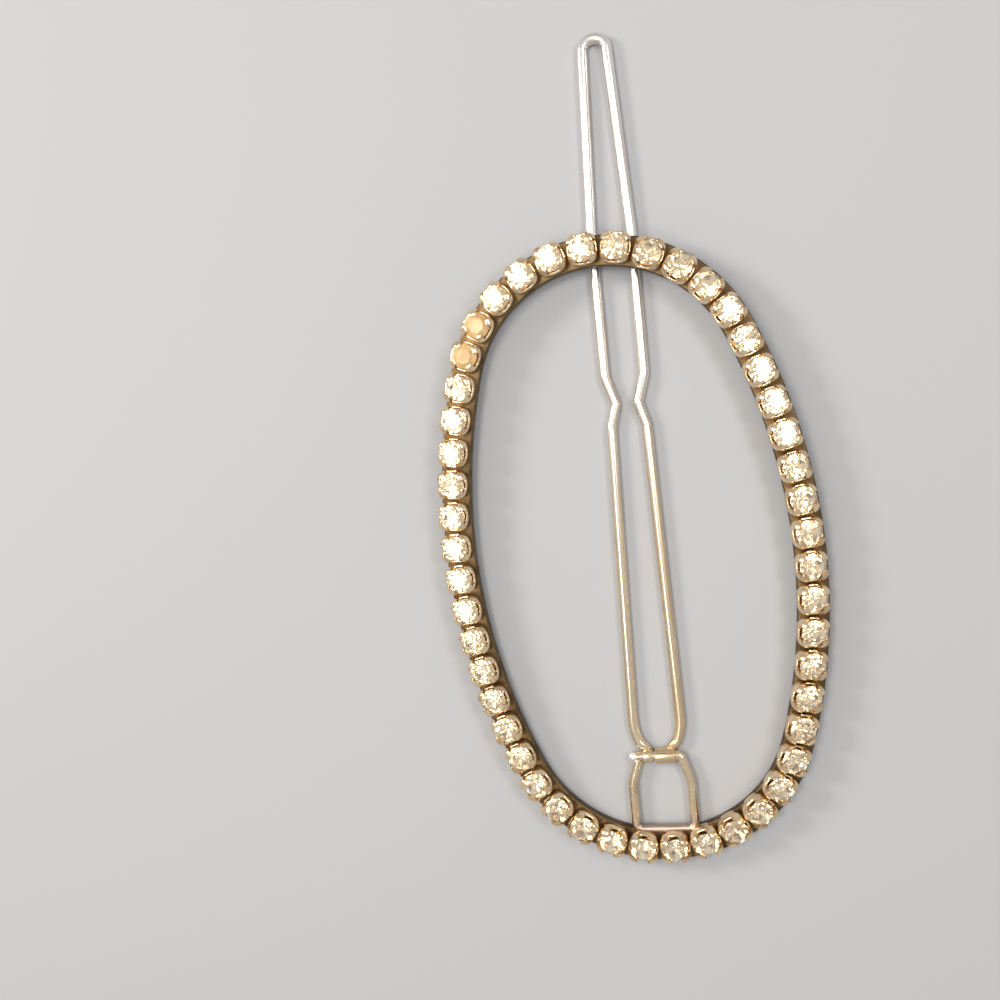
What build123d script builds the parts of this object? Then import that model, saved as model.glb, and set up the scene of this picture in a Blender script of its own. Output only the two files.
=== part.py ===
from build123d import *
import os
from math import asin, atan2, cos, degrees, radians, sin

# Hair slide: an oval ring of round stones in four-prong cups on a flat band, with a long
# hairpin of wire hinged on a bracket inside the ring. It lies stones up on a surface at Z 0.
# Lengths are in millimetres and angles in degrees.

# Stones, round and faceted
stone_diameter = 2.5
crown_height = 0.52
girdle_height = 0.08
pavilion_depth = 1.1
facet_count = 8

# Slopes of the stone's two rows of facets, inwards from upright
FACET_ROWS = [
    # crown, pavilion
    (47.0, 46.5),  # main facets, from the girdle to the table and to the tip
    (38.0, 40.0),  # short facets between them, next to the girdle
]

# Cups
seat_gap = 0.03  # between a stone and its cup
cup_wall = 0.22
cup_floor = 0.2
cup_sides = 12
cup_foot_width = 2.4
cup_shoulder = 0.6  # height at which the cup reaches its full width
cup_corner = 1.0  # rounding of the square cup's corners
cup_spacing = 0.2  # between two cups
seat_depth = 0.12  # below the girdle, where the cup's inside begins to narrow
window_width = 1.1  # of the gaps between a cup's four prongs
window_depth = 0.4  # of those gaps, below the girdle
prong_reach = 0.33  # of the prongs over the crown, inwards from the girdle
prong_height = 0.4  # of the prongs above the girdle
prong_tip = 0.16  # thickness of their tips
solder_depth = 0.1  # by which soldered pieces sink into each other

# Ring, measured on the line through the stones' centres
ring_width = 34.3
ring_length = 59.8
end_flattening = 2.8  # by which the ends' radius is less than half the width

# Flat band under the cups
band_height = 1.0
band_edge = 0.15  # rounding of its edges
inner_ledge = 0.2  # by which it stands out inside the cups
outer_inset = 0.22  # by which it stays back outside them

# Wire of the pin
wire_diameter = 1.04
pin_gap = 0.15  # between the closed pin and the ring above it

# Bracket: a closed trapezium of thinner wire, whose top side is the hinge's axle
bracket_wire_diameter = 0.9
bracket_reach = 7.5  # from the axle to the bar at the ring
bracket_band_gap = 0.18  # of the bar's middle from the band's inner wall
bracket_top_spacing = 4.2
bracket_shoulder_spacing = 5.85
bracket_foot_spacing = 5.8
bracket_corner_radius = 0.52
foot_radius = 0.6
leg_end = 0.15  # of the left leg's end below the axle's middle
head_diameter = 1.0  # of the axle's round left end, outside the bracket
head_length = 1.0  # from the middle of the bracket's left leg
head_rounding = 0.4

bracket_shoulder = 0.36  # where its legs stand widest, as a share of bracket_reach
shoulder_radius = 3.0

# Hinge: the pin's two flattened ends are rolled round the axle
axle_gap = 0.05
knuckle_wall = 0.275
knuckle_space = 0.12  # between the two knuckles
side_gap = 0.06  # between the knuckles and the bracket's left leg
seam_width = 0.1
seam_angle = 62.0  # of the seam, up from the pin's own direction

# Pin, from the axle to its round tip
pin_length = 70.8
pin_spacing = 4.8  # between its legs where they stand widest
pin_straight = 0.5  # of its legs next to the axle
pin_flare_radius = 0.5
lean = 3.4  # of the pin and its bracket to the right of the ring's long axis
clip_side = -0.25  # of the axle's middle from the ring's long axis

# Bends of the pin's right leg: distance from the axle as a share of pin_length, distance
# from the pin's middle as a share of half of pin_spacing, and radius of the bend
PIN_BENDS = [
    # along, out, radius
    (0.019, 0.79, 1.4),  # above the hinge
    (0.042, 0.99, 6.0),  # shoulder
    (0.467, 0.72, 1.3),  # below the waist
    (0.499, 0.45, 0.9),  # waist
    (0.537, 0.80, 2.0),  # above the waist
    (0.735, 0.81, 40.0),  # start of the taper
    (0.993, 0.475, 1.1),  # tip
]

# Sizes that follow from the ones above
stone_radius = stone_diameter / 2
cup_radius = stone_radius + seat_gap + cup_wall
stone_pitch = 2 * cup_radius + cup_spacing
cup_base = band_height - solder_depth
girdle_z = cup_base + cup_floor + 2 * seat_gap + pavilion_depth
girdle_top = girdle_z + girdle_height
wire_radius = wire_diameter / 2
axle_radius = bracket_wire_diameter / 2
bore_radius = axle_radius + axle_gap
knuckle_radius = bore_radius + knuckle_wall
bracket_out = bracket_top_spacing / 2
knuckle_out = bracket_out - axle_radius - side_gap
band_inward = cup_radius + inner_ledge
band_outward = cup_radius - outer_inset

# The oval has arcs for its ends and sides, which meet side_turn away from its short axis
half_width, half_length = ring_width / 2, ring_length / 2
end_radius = half_width - end_flattening
end_centre = half_length - end_radius
side_radius = half_width + (end_centre**2 / end_flattening - end_flattening) / 2
side_turn = degrees(atan2(end_centre, side_radius - half_width))

# The ring lies on its hinge end, and its far end is raised to clear the closed pin
rest_span = 2 * half_length + band_outward - band_inward
ring_tilt = asin((wire_diameter + pin_gap) / rest_span)
ring_rise = (half_length + band_outward) * sin(ring_tilt)

# The origin is under the middle of the whole slide, and the axle is behind the ring's centre
axle_back = half_length - band_inward - bracket_band_gap - bracket_reach
reach_far = pin_length * cos(radians(lean)) - axle_back
reach_near = half_length + cup_radius
ring_y = (reach_near - reach_far) / 2

ring_plane = Plane(
    origin=(0, ring_y, ring_rise),
    x_dir=(1, 0, 0),
    z_dir=(0, -sin(ring_tilt), cos(ring_tilt)),
)
# At the height of the axle, with Y from the axle's middle to the pin's tip
clip_plane = Plane(
    origin=(clip_side, ring_y - axle_back, knuckle_radius),
    x_dir=(cos(radians(lean)), -sin(radians(lean)), 0),
    z_dir=(0, 0, 1),
)
pin_plane = clip_plane.offset(wire_radius - knuckle_radius)
# Across the axle, with X to the pin's tip, Y up and the normal along the axle to the right
hinge_plane = Plane(
    origin=clip_plane.origin, x_dir=clip_plane.y_dir, z_dir=clip_plane.x_dir
)


def draw_oval(grow=0.0):
    """Draws the oval, grown all round from the stones' line, from its far end to the left."""
    for centre, radius, start, turn in (
        ((0, end_centre), end_radius, 90, 90 - side_turn),
        ((side_radius - half_width, 0), side_radius, 180 - side_turn, 2 * side_turn),
        ((0, -end_centre), end_radius, 180 + side_turn, 180 - 2 * side_turn),
        ((half_width - side_radius, 0), side_radius, -side_turn, 2 * side_turn),
        ((0, end_centre), end_radius, side_turn, 90 - side_turn),
    ):
        CenterArc(centre, radius + grow, start, turn)


def oval_strip(outward, inward):
    """Face between the oval grown outward and the oval shrunk inward."""
    with BuildSketch() as strip:
        with BuildLine():
            draw_oval(outward)
        make_face()
        with BuildLine():
            draw_oval(-inward)
        make_face(mode=Mode.SUBTRACT)
    return strip.sketch


def rounded_square(half, corner):
    """Outline of a square, each of its corners rounded off by two short sides."""
    diagonal = half - corner * (1 - cos(radians(45)))
    points = [(half, half - corner), (diagonal, diagonal), (half - corner, half)]
    points += [(-x, y) for x, y in reversed(points)]
    return points + [(-x, -y) for x, y in points]


# Places of the stones, evenly along the oval from the middle of its far end
with BuildLine() as stone_line:
    draw_oval()
rim = stone_line.wire()
stone_count = round(rim.length / stone_pitch)
stone_places = []
for number in range(stone_count):
    share = number / stone_count
    place = Plane(origin=rim @ share, x_dir=rim % share, z_dir=(0, 0, 1))
    stone_places.append(ring_plane.location * place.location)

# One stone is what its two rows of facets have in common, each an octagon narrowed up and down
stone_apothem = stone_radius * cos(radians(90 / facet_count))
facet_rows = []
for row, (crown_slope, pavilion_slope) in enumerate(FACET_ROWS):
    with BuildPart() as facet_row:
        for z_dir, z, height, slope in (
            (1, girdle_z, girdle_height, 0),
            (1, girdle_top, crown_height, crown_slope),
            (-1, girdle_z, pavilion_depth, pavilion_slope),
        ):
            with BuildSketch(Plane(origin=(0, 0, z), z_dir=(0, 0, z_dir))):
                RegularPolygon(
                    stone_apothem,
                    facet_count,
                    major_radius=False,
                    rotation=row * 180 / facet_count,
                )
            extrude(amount=height, taper=slope)
    facet_rows.append(facet_row.part)
stone = facet_rows[0] & facet_rows[1]

# One cup: frustums of a square with rounded corners, hollowed, and cut by crossed windows that
# leave a prong at each corner
prong_in = stone_radius - prong_reach
prong_top = girdle_top + prong_height
cup_outside = (
    # height, half of the width
    (cup_base, cup_foot_width / 2),
    (cup_base + cup_shoulder, cup_radius),
    (girdle_top, cup_radius),
    (prong_top, prong_in + prong_tip),
)
cup_inside = (
    # height, radius
    (cup_base + cup_floor, 2 * seat_gap),
    (girdle_z - seat_depth, stone_radius + seat_gap),
    (girdle_top + seat_gap, stone_radius + seat_gap),
    (prong_top, prong_in),
)
with BuildPart() as cup:
    for low, high in zip(cup_outside, cup_outside[1:]):
        for z, width in (low, high):
            with BuildSketch(Plane.XY.offset(z)):
                Polygon(*rounded_square(width, cup_corner * width / cup_radius))
        loft(ruled=True)
    for low, high in zip(cup_inside, cup_inside[1:]):
        for z, apothem in (low, high):
            with BuildSketch(Plane.XY.offset(z)):
                RegularPolygon(apothem, cup_sides, major_radius=False)
        loft(ruled=True, mode=Mode.SUBTRACT)
    with BuildSketch(Plane.XY.offset(girdle_z - window_depth)):
        Rectangle(3 * cup_radius, window_width)
        Rectangle(window_width, 3 * cup_radius)
    extrude(amount=prong_top, mode=Mode.SUBTRACT)

# The axle's round head, at its left end
with BuildPart() as head:
    with BuildSketch(hinge_plane.offset(-bracket_out - axle_radius / 2)):
        Circle(head_diameter / 2)
    extrude(amount=axle_radius / 2 - head_length)
    head_edge = head.edges().sort_by(Axis(clip_plane.origin, clip_plane.x_dir))[0]
    fillet(head_edge, head_rounding)

# The bracket's one wire, from the head along the axle, down the right leg and round to the left.
# Its straight left part is made by itself, because the wire's other end meets it
leg_bends = (
    (bracket_shoulder_spacing / 2, bracket_shoulder * bracket_reach),
    (bracket_foot_spacing / 2, bracket_reach),
)
with BuildPart() as bracket:
    with BuildLine(clip_plane) as wire_line:
        FilletPolyline(
            (0, 0),
            (bracket_out, 0),
            *((x, -y) for x, y in leg_bends),
            *((-x, -y) for x, y in reversed(leg_bends)),
            (-bracket_out, -leg_end),
            radius=[
                bracket_corner_radius,
                shoulder_radius,
                foot_radius,
                foot_radius,
                shoulder_radius,
            ],
        )
    with BuildSketch(Plane(origin=wire_line.line @ 0, z_dir=wire_line.line % 0)):
        Circle(axle_radius)
    sweep(path=wire_line.line)
    with BuildSketch(hinge_plane):
        Circle(axle_radius)
    extrude(amount=-bracket_out - head_length / 2)
    add(head.part)

# The setting, soldered into one piece: band, cups and bracket
with BuildPart() as setting:
    with BuildSketch(ring_plane):
        add(oval_strip(band_outward, band_inward))
    extrude(amount=band_height)
    fillet(setting.edges(), band_edge)
    with Locations(*stone_places):
        add(cup.part)
    add(bracket.part)

with BuildPart() as stones:
    with Locations(*stone_places):
        add(stone)

# The pin: one wire along both legs, with its flattened ends rolled round the axle
right_leg = [(knuckle_out - wire_radius, 0), (knuckle_out - wire_radius, pin_straight)]
bend_radii = [pin_flare_radius]
for along, out, radius in PIN_BENDS:
    right_leg.append((out * pin_spacing / 2, along * pin_length))
    bend_radii.append(radius)
left_leg = [(-x, y) for x, y in reversed(right_leg)]

with BuildPart() as clasp_pin:
    with BuildLine(pin_plane) as pin_line:
        FilletPolyline(*right_leg, *left_leg, radius=bend_radii + bend_radii[::-1])
    with BuildSketch(Plane(origin=pin_line.line @ 0, z_dir=pin_line.line % 0)):
        Circle(wire_radius)
    sweep(path=pin_line.line)
    for start in (-knuckle_out, knuckle_space / 2):
        with BuildSketch(hinge_plane.offset(start)):
            Circle(knuckle_radius)
        extrude(amount=knuckle_out - knuckle_space / 2)
    with BuildSketch(hinge_plane.offset(-bracket_out)):
        Circle(bore_radius)
        with Locations(Rotation(0, 0, seam_angle)):
            Rectangle(2 * knuckle_radius, seam_width, align=(Align.MIN, Align.CENTER))
    extrude(amount=2 * bracket_out, mode=Mode.SUBTRACT)

os.makedirs("parts", exist_ok=True)
for name, piece in (
    ("setting", setting.part),
    ("stones", stones.part),
    ("clasp_pin", clasp_pin.part),
):
    piece.label = name
    export_step(piece, f"parts/{name}.step")
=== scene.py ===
import random
from math import asin, atan2, cos, pi, radians, sin, tan

import bmesh
import bpy
from bmesh.types import BMEdge, BMVert
from mathutils import Matrix, Vector


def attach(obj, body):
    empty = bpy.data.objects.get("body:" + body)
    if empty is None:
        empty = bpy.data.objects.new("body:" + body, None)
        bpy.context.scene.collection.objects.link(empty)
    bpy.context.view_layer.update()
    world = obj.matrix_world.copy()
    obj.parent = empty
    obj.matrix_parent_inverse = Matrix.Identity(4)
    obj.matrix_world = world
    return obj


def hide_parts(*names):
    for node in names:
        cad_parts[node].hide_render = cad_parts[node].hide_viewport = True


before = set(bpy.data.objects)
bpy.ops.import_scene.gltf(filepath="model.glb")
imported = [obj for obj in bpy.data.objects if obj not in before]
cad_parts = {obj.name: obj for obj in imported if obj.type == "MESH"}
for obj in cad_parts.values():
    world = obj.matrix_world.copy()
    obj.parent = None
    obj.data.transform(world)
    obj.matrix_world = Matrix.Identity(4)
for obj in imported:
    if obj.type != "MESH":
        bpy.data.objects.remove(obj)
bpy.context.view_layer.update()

# Sizes in millimetres, where the solids have them as in the part's source. Pieces are
# modelled in millimetres and scaled to metres when they are finished
METRES = 0.001
weld_distance = 1e-4
cut_tolerance = 1e-5

stone_count = 48
stone_radius = 1.25
girdle_low = 2.26
girdle_high = 2.34
table_z = 2.86
stone_tip_z = 1.16
stone_sides = 32
facet_count = 8
stone_tilt = 2.2  # degrees that a stone sits out of level at most
foil_below = -0.2  # a stone's face has the foil where its normal's Z is lower

cup_radius = 1.5
cup_squareness = 3.2
cup_steps = 64
window_half = 0.5
window_blend = 0.08  # a window's wall turns into a prong's this far each side of its edge
cup_lean = radians(14)
lean_pivot = 3.2

# Cups over which the lean grows and fades, counted from the middle of the far end to the left
LEAN_GROWS = (19, 25)
LEAN_FADES = (44, 48)

half_width = 17.15
half_length = 29.9
end_flattening = 2.8
band_height = 1.0
band_inward = 1.7
band_outward = 1.28
band_rounding = 0.15
oval_step = 0.6

wire_radius = 0.52
wire_sides = 20
wire_step = 0.35
wire_turn_step = 0.16  # radians
pin_gap = 0.15
pin_length = 70.8
pin_half_spacing = 2.4
pin_lean = radians(3.4)
leg_start = 0.05
leg_straight = 0.5
leg_bend = 0.5
flat_length = 1.0  # over which the pin's wire is flattened at the axle
clip_side = -0.25

bracket_wire_radius = 0.45
bracket_reach = 7.5
bracket_band_gap = 0.18
bracket_out = 2.1
bracket_bend = 0.52  # between the axle and the right leg
left_leg_top = -0.3
head_out = 2.6
head_radius = 0.5

bore_radius = 0.5
knuckle_radius = 0.775
knuckle_out = 1.59
knuckle_rounding = 0.07
knuckle_seam = radians(62)
knuckle_gap = radians(15)
knuckle_steps = 40

# Bends of the pin's right leg, from the hinge to the tip, as in the part's source
PIN_BENDS = [
    # along, out, bend
    (0.019, 0.79, 1.4),
    (0.042, 0.99, 6.0),
    (0.467, 0.72, 1.3),
    (0.499, 0.45, 0.9),
    (0.537, 0.80, 2.0),
    (0.735, 0.81, 40.0),
    (0.993, 0.475, 1.1),
]

# Bends of the bracket's right leg, from the axle to the bar at the ring
BRACKET_BENDS = [
    # along, out, bend
    (0.36, 2.925, 3.0),
    (1.00, 2.90, 0.6),
]

# The pin's two rolled ends on the axle, with their outside radius
KNUCKLES = [
    # left, right, radius
    (-knuckle_out, -0.62, 0.66),
    (-0.42, knuckle_out, knuckle_radius),
]

# Cross-section of a cup's wall, from the floor inside, over the rim and down to the foot, in a
# window and at a prong. Square says how far the row is from round, 0, to as square as the cup, 1
CUP_WALL = [
    # window radius and z, prong radius and z, square
    (0.10, 1.10, 0.10, 1.10, 0.0),
    (1.26, 1.70, 1.27, 2.10, 0.0),
    (1.27, 1.78, 1.26, 2.36, 0.0),
    (1.28, 1.82, 1.16, 2.49, 0.0),
    (1.30, 1.85, 1.03, 2.62, 0.1),
    (1.33, 1.87, 1.00, 2.69, 0.1),
    (1.37, 1.87, 1.03, 2.75, 0.1),
    (1.41, 1.86, 1.14, 2.75, 0.3),
    (1.45, 1.83, 1.27, 2.69, 0.6),
    (1.48, 1.79, 1.38, 2.55, 0.85),
    (1.49, 1.73, 1.47, 2.36, 1.0),
    (1.50, 1.65, 1.50, 2.10, 1.0),
    (1.49, 1.50, 1.50, 1.60, 1.0),
    (1.44, 1.32, 1.44, 1.32, 1.0),
    (1.34, 1.12, 1.34, 1.12, 0.9),
    (1.22, 0.90, 1.22, 0.90, 0.8),
    (1.20, 0.50, 1.20, 0.50, 0.8),
]

# Rows of a stone's facets: turn of the first as a share of their spacing, slope from level
# in degrees, negative below the girdle, and the height at which they meet the girdle
FACETS = [
    # turn, slope, height
    (0.0, 43.0, girdle_high),
    (0.5, 52.0, girdle_high),
    (0.0, -43.5, girdle_low),
]

# Numbers of the yellowed stones, counted as the cups are
YELLOWED = (4, 5)

# Where looks change along the row's axes: from the first to the second value
SOLDER_ENDS_Y = (-36.8, -35.8)
# Box of the axle's head, which is painted near white as a painted highlight
HEAD_ENDS_X = (-2.6, -2.5)
HEAD_STARTS_Y = (-30.30, -30.15)
# The pin's painted sheen, near white, grows from the first to the second value
PAINTED_SHEEN_Y = (-20.0, 22.0)

# Soft lights turned to the origin, in metres and watts
LIGHTS = [
    # name, place, size, power, colour
    ("skylight", (-0.07, 0.05, 0.28), 0.08, 0.28, (1.0, 0.98, 0.94)),
    ("window", (-0.28, 0.14, 0.20), 0.08, 0.75, (1.0, 0.96, 0.89)),
    ("lamp", (-0.085, -0.055, 0.27), 0.05, 0.11, (1.0, 0.97, 0.92)),
    ("glint_far", (0.135, 0.09, 0.24), 0.05, 0.13, (1.0, 0.99, 0.97)),
    ("glint_near", (0.160, 0.015, 0.24), 0.05, 0.13, (1.0, 0.99, 0.97)),
]
sky_strength = 0.55
floor_half = 0.6  # metres

# Places worked out from those sizes
end_radius = half_width - end_flattening
end_centre = half_length - end_radius
side_radius = half_width + (end_centre**2 / end_flattening - end_flattening) / 2
side_turn = atan2(end_centre, side_radius - half_width)
rest_span = 2 * half_length + band_outward - band_inward
ring_tilt = asin((2 * wire_radius + pin_gap) / rest_span)
ring_rise = (half_length + band_outward) * sin(ring_tilt)
axle_back = half_length - band_inward - bracket_band_gap - bracket_reach
reach_far = pin_length * cos(pin_lean) - axle_back
ring_y = (half_length + cup_radius - reach_far) / 2
leg_out = knuckle_out - wire_radius

RING = Matrix.Translation((0, ring_y, ring_rise)) @ Matrix.Rotation(ring_tilt, 4, "X")
CLIP = Matrix.Translation((clip_side, ring_y - axle_back, 0)) @ Matrix.Rotation(-pin_lean, 4, "Z")
AXLE = Matrix.Translation((0, 0, knuckle_radius))

# Arcs of the oval from the middle of its far end to the left: centre, radius, start and turn
OVAL = [
    ((0, end_centre), end_radius, pi / 2, pi / 2 - side_turn),
    ((side_radius - half_width, 0), side_radius, pi - side_turn, 2 * side_turn),
    ((0, -end_centre), end_radius, pi + side_turn, pi - 2 * side_turn),
    ((half_width - side_radius, 0), side_radius, -side_turn, 2 * side_turn),
    ((0, end_centre), end_radius, side_turn, pi / 2 - side_turn),
]

# The camera, fitted to the photograph: place in millimetres, and directions
CAMERA_PLACE = Vector((8.19, 12.71 + ring_y, 99.67))
CAMERA_LOOK = Vector((-0.2015, -0.0543, -0.978))
CAMERA_UP = Vector((0.1453, 0.9858, -0.0846))


def smooth(value, start, end):
    """0 before start and 1 past end, smooth between them."""
    share = min(max((value - start) / (end - start), 0), 1)
    return share * share * (3 - 2 * share)


def oval_place(share):
    """Matrix at a share of the oval's length, with X along the oval and Z up."""
    way = share * sum(radius * turn for _, radius, _, turn in OVAL)
    for (x, y), radius, start, turn in OVAL:
        if way <= radius * turn:
            break
        way -= radius * turn
    angle = start + way / radius
    point = Vector((x + radius * cos(angle), y + radius * sin(angle), 0))
    return Matrix.Translation(point) @ Matrix.Rotation(angle + pi / 2, 4, "Z")


def cup_place(number):
    """Place of a cup: those of the hinge end and the right side lean outwards on the band."""
    lean = cup_lean * (smooth(number, *LEAN_GROWS) - smooth(number, *LEAN_FADES))
    pivot = Matrix.Translation((0, 0, lean_pivot))
    turn = pivot @ Matrix.Rotation(lean, 4, "X") @ pivot.inverted()
    return oval_place(number / stone_count) @ turn


def add_object(name, data):
    """A new object in the scene, at the origin."""
    thing = bpy.data.objects.new(name, data)
    bpy.context.scene.collection.objects.link(thing)
    return thing


def to_mesh(bm, name):
    """A new mesh from a bmesh, which is freed."""
    mesh = bpy.data.meshes.new(name)
    bm.to_mesh(mesh)
    bm.free()
    return mesh


def finish_piece(bm, name, body, materials, place, sharp=35):
    """A finished piece of the object: its mesh in metres in the row frame, riding its body."""
    bm.transform(Matrix.Scale(METRES, 4) @ place)
    mesh = to_mesh(bm, name)
    for material in materials:
        mesh.materials.append(material)
    mesh.shade_smooth()
    mesh.set_sharp_from_angle(angle=radians(sharp))
    piece = add_object(name, mesh)
    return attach(piece, body)


def close_shell(bm):
    """Joins a shell's ends and turns its faces outwards."""
    bmesh.ops.remove_doubles(bm, verts=bm.verts, dist=weld_distance)
    bmesh.ops.recalc_face_normals(bm, faces=bm.faces)


def add_copy(into, bm, place):
    """Adds a copy of a bmesh to another one at a place."""
    copy = bm.copy()
    copy.transform(place)
    mesh = to_mesh(copy, "copy")
    into.from_mesh(mesh)
    bpy.data.meshes.remove(mesh)


def scatter(bm, places):
    """A bmesh with a copy of bm, which is freed, at each place."""
    joined = bmesh.new()
    for place in places:
        add_copy(joined, bm, place)
    bm.free()
    return joined


def only(kind, geometry):
    """The parts of one kind, such as edges, in what an operator gives back."""
    return [part for part in geometry if isinstance(part, kind)]


def rounded_section(place, rounding, segments):
    """A bmesh of one face: a unit square carried to its place, with rounded corners."""
    bm = bmesh.new()
    bmesh.ops.create_grid(bm, x_segments=1, y_segments=1, size=0.5)
    bmesh.ops.transform(bm, matrix=place, verts=bm.verts)
    bmesh.ops.bevel(
        bm,
        geom=list(bm.verts),
        offset=rounding,
        segments=segments,
        profile=0.5,
        affect="VERTICES",
        material=-1,
    )
    return bm


class Socket:
    """A shader socket, or a number, that makes Math nodes when it is used in an expression."""

    def __init__(self, tree, value):
        self.tree = tree
        self.value = value

    def math(self, operation, other):
        node = self.tree.nodes.new("ShaderNodeMath")
        node.operation = operation
        connect(self.tree, node.inputs[0], self)
        connect(self.tree, node.inputs[1], other)
        return Socket(self.tree, node.outputs[0])

    def __add__(self, other):
        return self.math("ADD", other)

    def __sub__(self, other):
        return self.math("SUBTRACT", other)

    def __mul__(self, other):
        return self.math("MULTIPLY", other)

    def __rsub__(self, other):
        return Socket(self.tree, other) - self

    __radd__ = __add__
    __rmul__ = __mul__


def connect(tree, into, value):
    """Links a socket to an input, or sets the input's own value."""
    if isinstance(value, Socket):
        value = value.value
    if isinstance(value, bpy.types.NodeSocket):
        tree.links.new(value, into)
    else:
        into.default_value = value


class Finish:
    """A material under construction."""

    def __init__(self, name):
        self.material = bpy.data.materials.new(name)
        self.material.use_nodes = True
        self.tree = self.material.node_tree

    def node(self, kind, output, settings, sockets):
        """The output of a new node, its settings made first and then its sockets."""
        node = self.tree.nodes.new(kind)
        for name, value in settings.items():
            setattr(node, name, value)
        for name, value in sockets.items():
            connect(self.tree, node.inputs[name], value)
        return Socket(self.tree, node.outputs[output])

    def blend(self, factor, low, high):
        """A colour between two colours. The node's sockets share names, so they go by number."""
        return self.node(
            "ShaderNodeMix", 2, {"data_type": "RGBA"}, {0: factor, 6: low, 7: high}
        )

    def step(self, value, start, end):
        """0 before start and 1 past end, smooth between them."""
        return self.node(
            "ShaderNodeMapRange",
            "Result",
            {"interpolation_type": "SMOOTHSTEP"},
            {"Value": value, "From Min": start, "From Max": end},
        )

    def object_place(self):
        """The object's own coordinates, in metres."""
        return self.node("ShaderNodeTexCoord", "Object", {}, {})

    def past(self, axis, start, end):
        """0 before start and 1 past end along one of the object's own axes, in millimetres."""
        sockets = {"Vector": self.object_place()}
        way = self.node("ShaderNodeSeparateXYZ", axis, {}, sockets)
        return self.step(way, start * METRES, end * METRES)

    def noise(self, size, detail, stretch=(1, 1, 1)):
        """Noise with patches of about this size in millimetres."""
        scale = tuple(share / (size * METRES) for share in stretch)
        sockets = {"Vector": self.object_place(), "Scale": scale}
        place = self.node("ShaderNodeMapping", "Vector", {}, sockets)
        sockets = {"Vector": place, "Scale": 1.0, "Detail": detail}
        return self.node("ShaderNodeTexNoise", "Fac", {}, sockets)

    def wear(self):
        """Blotches where gilding is worn."""
        return self.step(self.noise(size=1.6, detail=3.0), 0.42, 0.68)

    def surface(self, sockets):
        """Sets the shader's sockets and gives the material back."""
        shader = self.tree.nodes["Principled BSDF"]
        for name, value in sockets.items():
            connect(self.tree, shader.inputs[name], value)
        return self.material


def gilt_finish(name, bright, worn, gloss):
    """Worn gilding: darker and duller in blotches."""
    finish = Finish(name)
    wear = finish.wear()
    fine = finish.noise(size=0.35, detail=2.0)
    return finish.surface(
        {
            "Base Color": finish.blend(wear, bright, worn),
            "Metallic": 1.0,
            "Roughness": gloss + wear * 0.10 + fine * 0.08,
        }
    )


def bracket_finish():
    """The bracket: worn gilding, its axle's head painted near white as a painted highlight, dull
    where it is soldered.
    """
    finish = Finish("bracket_gilding")
    wear = finish.wear()
    soldered = 1 - finish.past("Y", *SOLDER_ENDS_Y)
    # The axle's head is painted near white and made rougher: a painted highlight.
    painted_sheen = (1 - finish.past("X", *HEAD_ENDS_X)) * finish.past("Y", *HEAD_STARTS_Y)
    colour = finish.blend(wear, (0.86, 0.71, 0.50, 1), (0.70, 0.54, 0.35, 1))
    colour = finish.blend(soldered, colour, (0.50, 0.39, 0.33, 1))
    return finish.surface(
        {
            "Base Color": finish.blend(painted_sheen, colour, (0.97, 0.96, 0.95, 1)),
            "Metallic": 1.0,
            "Roughness": 0.18 + wear * 0.1 + soldered * 0.15 + painted_sheen * 0.22,
        }
    )


def pin_finish():
    """The pin's wire: pale worn gilding towards the hinge, turning near white towards its tip as a
    painted sheen.
    """
    finish = Finish("pin_wire_painted_sheen")
    wear = finish.step(finish.noise(size=2.5, detail=2.0, stretch=(1, 0.25, 1)), 0.4, 0.65)
    # Towards the tip the wire is painted near white: a painted sheen over the worn gilding.
    painted_sheen = finish.past("Y", *PAINTED_SHEEN_Y)
    gilded = finish.blend(wear, (0.86, 0.72, 0.52, 1), (0.72, 0.56, 0.37, 1))
    sheen_colour = finish.blend(wear, (0.95, 0.92, 0.89, 1), (0.82, 0.75, 0.68, 1))
    return finish.surface(
        {
            "Base Color": finish.blend(painted_sheen, gilded, sheen_colour),
            "Metallic": 1.0,
            "Roughness": 0.20 + wear * 0.1,
        }
    )


def crystal_finish():
    """Slightly cloudy glass of the clear stones."""
    return Finish("crystal").surface(
        {
            "Base Color": (1.0, 0.965, 0.88, 1),
            "Roughness": 0.02,
            "IOR": 1.55,
            "Transmission Weight": 0.87,
        }
    )


def foil_finish():
    """Foil behind the stones."""
    return Finish("stone_foil").surface(
        {"Base Color": (1.0, 0.87, 0.68, 1), "Metallic": 1.0, "Roughness": 0.12}
    )


def aged_crystal_finish():
    """Yellowed glass of the few stones that have lost their clearness."""
    finish = Finish("yellowed_crystal")
    cloud = finish.step(finish.noise(size=0.9, detail=3.0), 0.35, 0.65)
    return finish.surface(
        {
            "Base Color": finish.blend(cloud, (0.55, 0.33, 0.13, 1), (0.75, 0.52, 0.26, 1)),
            "Roughness": 0.38,
            "IOR": 1.5,
        }
    )


def spin_oval(bm, geometry):
    """Carries a cross-section that starts at the middle of the far end round the oval."""
    for (x, y), radius, _, turn in OVAL:
        spun = bmesh.ops.spin(
            bm,
            geom=geometry,
            cent=(x, y, 0),
            axis=(0, 0, 1),
            angle=turn,
            steps=round(radius * turn / oval_step),
            use_merge=False,
        )
        geometry = spun["geom_last"]


def build_band(finish):
    """The flat band under the cups, in gilding painted dark as shade."""
    middle = half_length + (band_outward - band_inward) / 2
    place = (
        Matrix.Translation((0, middle, band_height / 2))
        @ Matrix.Rotation(pi / 2, 4, "Y")
        @ Matrix.Diagonal((band_height, band_outward + band_inward, 1, 1))
    )
    bm = rounded_section(place, band_rounding, segments=4)
    bmesh.ops.delete(bm, geom=list(bm.faces), context="FACES_ONLY")
    spin_oval(bm, list(bm.edges))
    close_shell(bm)
    finish_piece(bm, "band", "ornament", [finish], RING)


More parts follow.
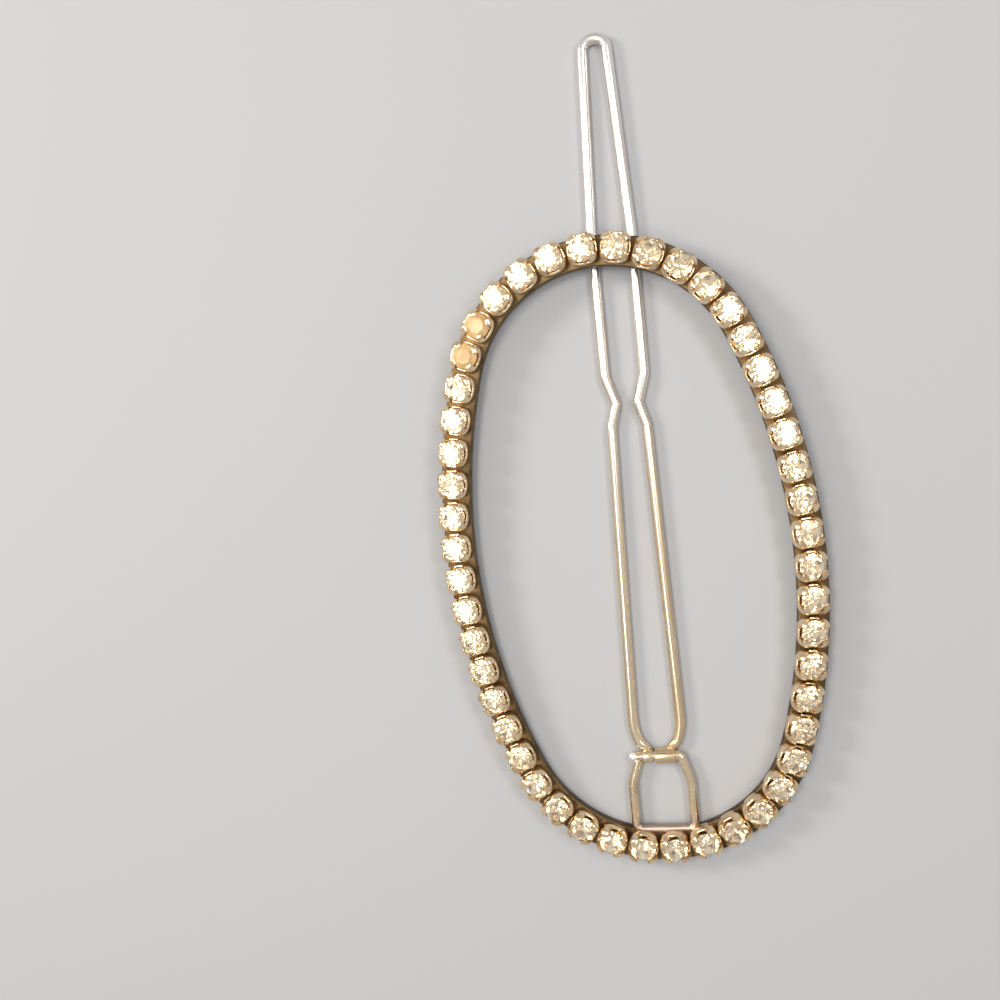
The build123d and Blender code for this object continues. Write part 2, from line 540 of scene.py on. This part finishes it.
def shape_cup(vert, row):
    """Moves a vertex of the round spun wall to its place in the square cup with its prongs."""
    window_radius, window_z, prong_radius, prong_z, square = row
    angle = atan2(vert.co.y, vert.co.x)
    along, across = abs(cos(angle)), abs(sin(angle))
    reach = (along**cup_squareness + across**cup_squareness) ** (-1 / cup_squareness)
    reach = 1 + square * (reach - 1)
    aside = prong_radius * reach * min(along, across)
    share = smooth(aside, window_half - window_blend, window_half + window_blend)
    radius = reach * (window_radius + (prong_radius - window_radius) * share)
    height = window_z + (prong_z - window_z) * share
    vert.co = (radius * cos(angle), radius * sin(angle), height)


def build_cups(finish):
    """The cups: a spun wall made square, whose rim rises into a folded prong at each corner."""
    bm = bmesh.new()
    row = [bm.verts.new((1, 0, height)) for height in range(len(CUP_WALL))]
    edges = [bm.edges.new(pair) for pair in zip(row, row[1:])]
    bmesh.ops.spin(
        bm,
        geom=edges,
        cent=(0, 0, 0),
        axis=(0, 0, 1),
        angle=2 * pi,
        steps=cup_steps,
        use_merge=True,
    )
    for vert in bm.verts:
        shape_cup(vert, CUP_WALL[round(vert.co.z)])
    bmesh.ops.holes_fill(bm, edges=bm.edges, sides=cup_steps)
    close_shell(bm)
    cups = scatter(bm, [cup_place(number) for number in range(stone_count)])
    finish_piece(cups, "cups", "ornament", [finish], RING, sharp=50)


def cut_stone():
    """One brilliant: a round blank cut by a plane for each facet, its foil on the lower ones."""
    bm = bmesh.new()
    bmesh.ops.create_cone(
        bm,
        cap_ends=True,
        segments=stone_sides,
        radius1=stone_radius,
        radius2=stone_radius,
        depth=table_z - stone_tip_z,
        matrix=Matrix.Translation((0, 0, (table_z + stone_tip_z) / 2)),
    )
    for turn, slope, height in FACETS:
        rise = cos(radians(slope)) * (-1 if slope < 0 else 1)
        for number in range(facet_count):
            angle = 2 * pi * (number + turn) / facet_count
            out = Vector((cos(angle), sin(angle), 0))
            cut = bmesh.ops.bisect_plane(
                bm,
                geom=bm.verts[:] + bm.edges[:] + bm.faces[:],
                dist=cut_tolerance,
                plane_co=out * stone_radius + Vector((0, 0, height)),
                plane_no=out * sin(radians(abs(slope))) + Vector((0, 0, rise)),
                clear_outer=True,
            )
            edges = only(BMEdge, cut["geom_cut"])
            if edges:
                bmesh.ops.edgeloop_fill(bm, edges=edges)
    close_shell(bm)
    for face in bm.faces:
        face.material_index = int(face.normal.z < foil_below)
    return bm


def stone_places(numbers):
    """Places of stones, each a little out of level as it sits in its cup."""
    middle = Matrix.Translation((0, 0, girdle_low))
    places = []
    for number in numbers:
        chance = random.Random(number)
        tip = Matrix.Rotation(radians(chance.uniform(-stone_tilt, stone_tilt)), 4, "X")
        roll = Matrix.Rotation(radians(chance.uniform(-stone_tilt, stone_tilt)), 4, "Y")
        turn = Matrix.Rotation(radians(chance.uniform(0, 360 / facet_count)), 4, "Z")
        seat = middle @ tip @ roll @ turn @ middle.inverted()
        places.append(cup_place(number) @ seat)
    return places


def build_stones(numbers, name, glass, foil):
    """Stones in their cups, as one piece."""
    stones = scatter(cut_stone(), stone_places(numbers))
    return finish_piece(stones, name, "ornament", [glass, foil], RING, sharp=1)


def bend_wire(bm, corners, bends, radius):
    """A round wire in the XY plane with flat ends, each corner rounded to its bend's radius."""
    corners = [Vector(corner) for corner in corners]
    ways = [b - a for a, b in zip(corners, corners[1:])]
    turns = [-a.angle_signed(b) for a, b in zip(ways, ways[1:])]
    cuts = [0, *(abs(bend * tan(turn / 2)) for bend, turn in zip(bends, turns)), 0]
    point = corners[0].to_3d()
    across = ways[0].to_3d().normalized().to_track_quat("Z", "Y").to_matrix().to_4x4()
    ring = bmesh.ops.create_circle(
        bm,
        cap_ends=True,
        segments=wire_sides,
        radius=radius,
        matrix=Matrix.Translation(point) @ across,
    )
    edges = list(ring["verts"][0].link_faces[0].edges)
    for number, way in enumerate(ways):
        heading = way.to_3d().normalized()
        straight = heading * (way.length - cuts[number] - cuts[number + 1])
        drawn = bmesh.ops.extrude_edge_only(bm, edges=edges)["geom"]
        verts = only(BMVert, drawn)
        bmesh.ops.translate(bm, verts=verts, vec=straight)
        point = point + straight
        edges = [e for e in only(BMEdge, drawn) if all(v in verts for v in e.verts)]
        if number < len(turns):
            turn, bend = turns[number], bends[number]
            left = Vector((-heading.y, heading.x, 0))
            centre = point + left * (bend if turn > 0 else -bend)
            steps = max(abs(turn) * bend / wire_step, abs(turn) / wire_turn_step, 3)
            spun = bmesh.ops.spin(
                bm,
                geom=edges,
                cent=centre,
                axis=(0, 0, 1),
                angle=turn,
                steps=round(steps),
                use_merge=False,
            )
            edges = only(BMEdge, spun["geom_last"])
            point = centre + Matrix.Rotation(turn, 3, "Z") @ (point - centre)
    bmesh.ops.edgeloop_fill(bm, edges=edges)
    close_shell(bm)


def both_legs(leg):
    """Corners along one leg and, mirrored, back along the other."""
    return [*leg, *((-x, y) for x, y in reversed(leg))]


def build_bracket(finish):
    """The bracket: one wire for the axle, the legs and the bar at the ring, with a round head."""
    leg = [(out, -along * bracket_reach) for along, out, _ in BRACKET_BENDS]
    bends = [bend for _, _, bend in BRACKET_BENDS]
    axle = [(-head_out, 0), (bracket_out, 0)]
    corners = [*axle, *both_legs(leg), (-bracket_out, left_leg_top)]
    bm = bmesh.new()
    bend_wire(bm, corners, [bracket_bend, *bends, *reversed(bends)], bracket_wire_radius)
    bmesh.ops.create_uvsphere(
        bm,
        u_segments=24,
        v_segments=16,
        radius=head_radius,
        matrix=Matrix.Translation((-head_out, 0, 0)) @ Matrix.Rotation(pi / 2, 4, "Y"),
    )
    piece = finish_piece(bm, "bracket", "ornament", [finish], CLIP @ AXLE)
    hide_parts("setting")


def flatten_ends(bm):
    """Flattens the pin's wire towards the axle, and sets its underside at height 0."""
    flat_share = (knuckle_radius - bore_radius) / (2 * wire_radius)
    for vert in bm.verts:
        share = smooth(flat_length - vert.co.y, 0, flat_length)
        vert.co.z = (vert.co.z + wire_radius) * (1 - share * (1 - flat_share))


def add_knuckle(bm, left, right, radius):
    """A flattened wire end rolled round the axle, with a seam near the top."""
    place = (
        Matrix.Rotation(knuckle_seam + knuckle_gap / 2, 4, "X")
        @ Matrix.Translation(((left + right) / 2, (bore_radius + radius) / 2, 0))
        @ Matrix.Diagonal((right - left, radius - bore_radius, 1, 1))
    )
    knuckle = rounded_section(place, knuckle_rounding, segments=3)
    bmesh.ops.spin(
        knuckle,
        geom=knuckle.verts[:] + knuckle.edges[:] + knuckle.faces[:],
        cent=(0, 0, 0),
        axis=(1, 0, 0),
        angle=2 * pi - knuckle_gap,
        steps=knuckle_steps,
        use_merge=False,
    )
    close_shell(knuckle)
    add_copy(bm, knuckle, AXLE)
    knuckle.free()


def build_pin(finish):
    """The pin's long wire loop, flattened at the hinge, and the two knuckles it is rolled into."""
    leg = [(leg_out, leg_start), (leg_out, leg_straight)]
    leg += [(out * pin_half_spacing, along * pin_length) for along, out, _ in PIN_BENDS]
    bends = [leg_bend, *(bend for _, _, bend in PIN_BENDS)]
    bm = bmesh.new()
    bend_wire(bm, both_legs(leg), [*bends, *reversed(bends)], wire_radius)
    flatten_ends(bm)
    for left, right, radius in KNUCKLES:
        add_knuckle(bm, left, right, radius)
    piece = finish_piece(bm, "pin", "pin", [finish], CLIP)
    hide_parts("clasp_pin")


def build_floor():
    """The pale floor that the barrette lies on."""
    bm = bmesh.new()
    bmesh.ops.create_grid(bm, x_segments=1, y_segments=1, size=floor_half)
    mesh = to_mesh(bm, "floor")
    finish = {"Base Color": (0.41, 0.41, 0.42, 1), "Roughness": 0.9}
    mesh.materials.append(Finish("floor").surface(finish))
    floor = add_object("floor", mesh)


def build_lights():
    """The soft lights and the pale sky."""
    for name, place, size, power, colour in LIGHTS:
        data = bpy.data.lights.new(name, "AREA")
        data.energy = power
        data.size = size
        data.color = colour
        light = add_object(name, data)
        light.location = place
        light.rotation_euler = (-Vector(place)).to_track_quat("-Z", "Y").to_euler()
    world = bpy.data.worlds.new("studio")
    world.use_nodes = True
    sky = world.node_tree.nodes["Background"]
    sky.inputs["Color"].default_value = (1.0, 0.99, 0.98, 1)
    sky.inputs["Strength"].default_value = sky_strength
    bpy.context.scene.world = world
    bpy.context.scene.view_settings.view_transform = "Standard"


def build_camera():
    """The camera at the photograph's angle."""
    data = bpy.data.cameras.new("camera")
    data.lens = 36
    data.sensor_width = 36
    data.clip_start = 0.005
    look = CAMERA_LOOK.normalized()
    right = look.cross(CAMERA_UP).normalized()
    turn = Matrix((right, right.cross(look), -look)).transposed().to_4x4()
    camera = add_object("camera", data)
    camera.matrix_world = Matrix.Translation(CAMERA_PLACE * METRES) @ turn
    bpy.context.scene.camera = camera


cup_gilt = gilt_finish(
    "cup_gilding", bright=(0.93, 0.74, 0.49, 1), worn=(0.70, 0.49, 0.29, 1), gloss=0.10
)
# The band's dark brown is painted shade: gilding coloured as it looks in shadow, with darker
# blotches of wear.
band_painted_shade = gilt_finish(
    "band_gilding_painted_shade", bright=(0.14, 0.092, 0.045, 1), worn=(0.085, 0.054, 0.026, 1), gloss=0.30
)
foil = foil_finish()
clear = [number for number in range(stone_count) if number not in YELLOWED]

build_band(band_painted_shade)
build_cups(cup_gilt)
build_bracket(bracket_finish())
stones = build_stones(clear, "stones_cut", crystal_finish(), foil)
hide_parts("stones")
build_stones(YELLOWED, "stones_yellowed", aged_crystal_finish(), foil)
build_pin(pin_finish())
build_floor()
build_lights()
build_camera()
